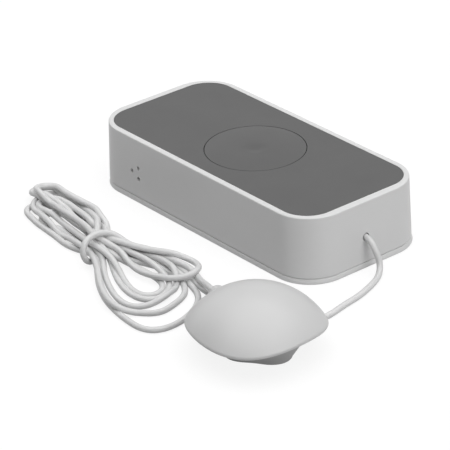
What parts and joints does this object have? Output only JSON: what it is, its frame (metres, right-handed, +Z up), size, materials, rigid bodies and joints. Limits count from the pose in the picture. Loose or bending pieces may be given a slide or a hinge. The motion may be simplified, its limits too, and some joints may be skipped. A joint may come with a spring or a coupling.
{
  "type": "water leak sensor",
  "caption": "Water leak sensor: a flat battery box with a large round push button on top and a domed floor probe on a thin, tied cable.",
  "frame": {"origin": "middle of the box's underside, on the surface that the sensor stands on", "axes": "+Z up from the underside, +X along the box towards the end face that the cable leaves, -Y towards the long side with the sound holes, the tied cable and the probe"},
  "size_m": [0.1873, 0.1319, 0.0282],
  "materials": {
    "white_shell": "fine satin texture",
    "grey_panel": "fine matte texture",
    "white_probe": "satin",
    "grey_foot": "matte",
    "cable": "satin PVC",
    "nylon": "satin",
    "black_resin": "satin",
    "soft_black": "matte",
    "circuit_board": "satin solder mask",
    "steel": "plated",
    "light_metal": "satin",
    "cell": "printed sleeve"
  },
  "bodies": {
    "sensor": {"base_plate": "white_shell", "top_shell": "white_shell", "top_panel": "grey_panel", "tact_switch": "black_resin", "main_board": "circuit_board", "board_spacer_1": "nylon", "board_spacer_2": "nylon", "board_spacer_3": "nylon", "board_spacer_4": "nylon", "board_screw_1": "steel", "board_screw_2": "steel", "board_screw_3": "steel", "board_screw_4": "steel", "base_screw_1": "steel", "base_screw_2": "steel", "base_screw_3": "steel", "base_screw_4": "steel", "radio_module": "light_metal", "processor_chip": "black_resin", "capacitor": "light_metal", "wire_connector": "nylon", "battery_holder": "black_resin", "battery_cell_1": "cell", "battery_cell_2": "cell", "contact_near": "steel", "contact_far": "steel", "sounder": "black_resin", "sounder_pad": "soft_black", "cable_collar": "nylon", "inner_lead": "cable", "box_lead": "cable", "cable_hank": "cable", "probe_lead": "cable", "probe_dome": "white_probe", "probe_base": "grey_foot", "probe_seal": "soft_black", "probe_board": "circuit_board", "electrode_1": "steel", "electrode_2": "steel", "electrode_3": "steel"},
    "button": {"push_button": "grey_panel", "switch_plunger": "nylon"}
  },
  "joints": [
    {"name": "button_press", "type": "slide", "parent": "sensor", "child": "button", "axis": [0, 0, -1], "range_m": [0, 0.0007], "stiffness_N_per_m": 1500}
  ]
}
